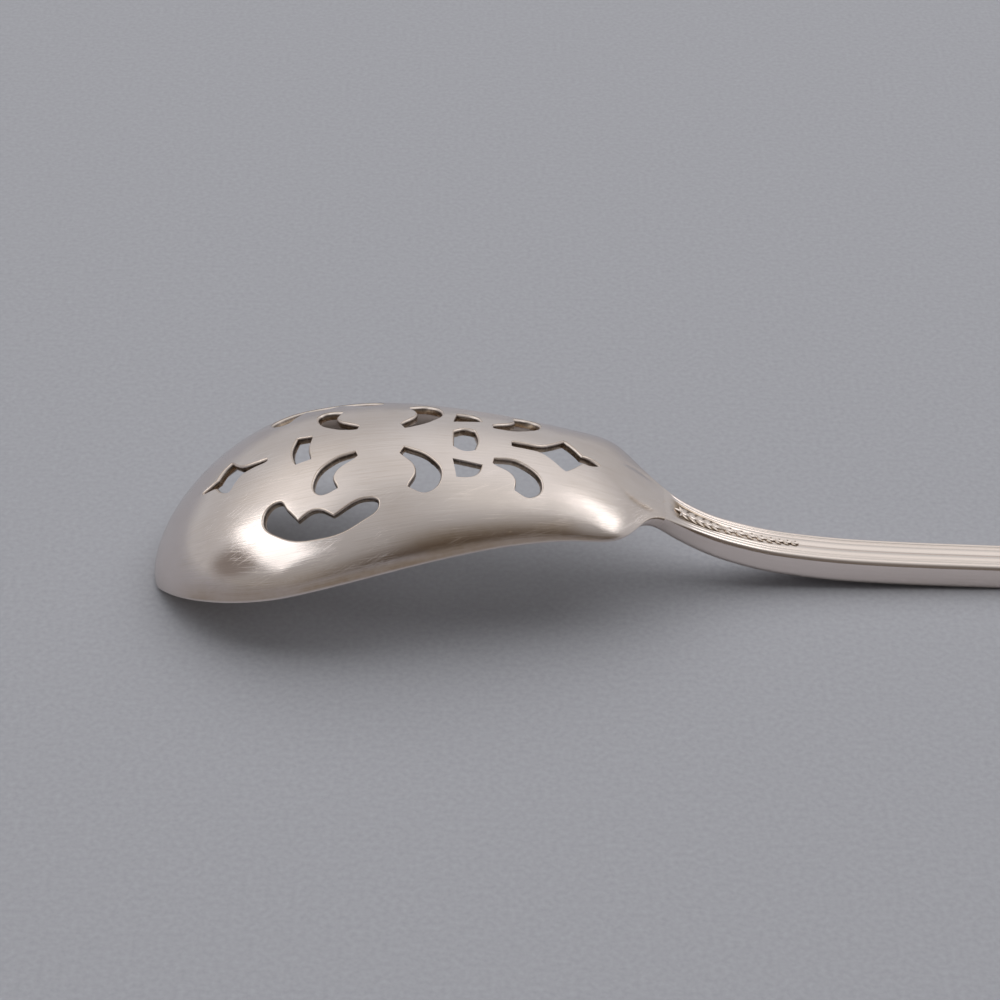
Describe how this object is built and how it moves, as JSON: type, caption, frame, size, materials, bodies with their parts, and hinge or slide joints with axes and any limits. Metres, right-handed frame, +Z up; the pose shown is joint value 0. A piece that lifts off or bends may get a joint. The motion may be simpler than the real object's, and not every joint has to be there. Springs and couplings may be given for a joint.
{
  "type": "pierced olive spoon",
  "caption": "Silver olive spoon with a deep egg-shaped bowl pierced with stars and scrolls, soldered at the neck to a slim thread-edged handle with a rounded end.",
  "frame": {"origin": "on the table, under the middle of the spoon's length and width, with the spoon lying face down", "axes": "+X along the spoon from the bowl's tip towards the handle's end, +Z up out of the bowl's back"},
  "size_m": [0.149, 0.028, 0.017],
  "materials": {
    "bowl_silver": "satin silver, finely brushed along its length, lightly tarnished",
    "handle_silver": "satin silver with bright threads and dull side walls",
    "solder": "dressed silver solder, flush with the neck"
  },
  "bodies": {
    "root": {"bowl": "bowl_silver", "handle": "handle_silver", "neck_solder": "solder"}
  },
  "joints": []
}
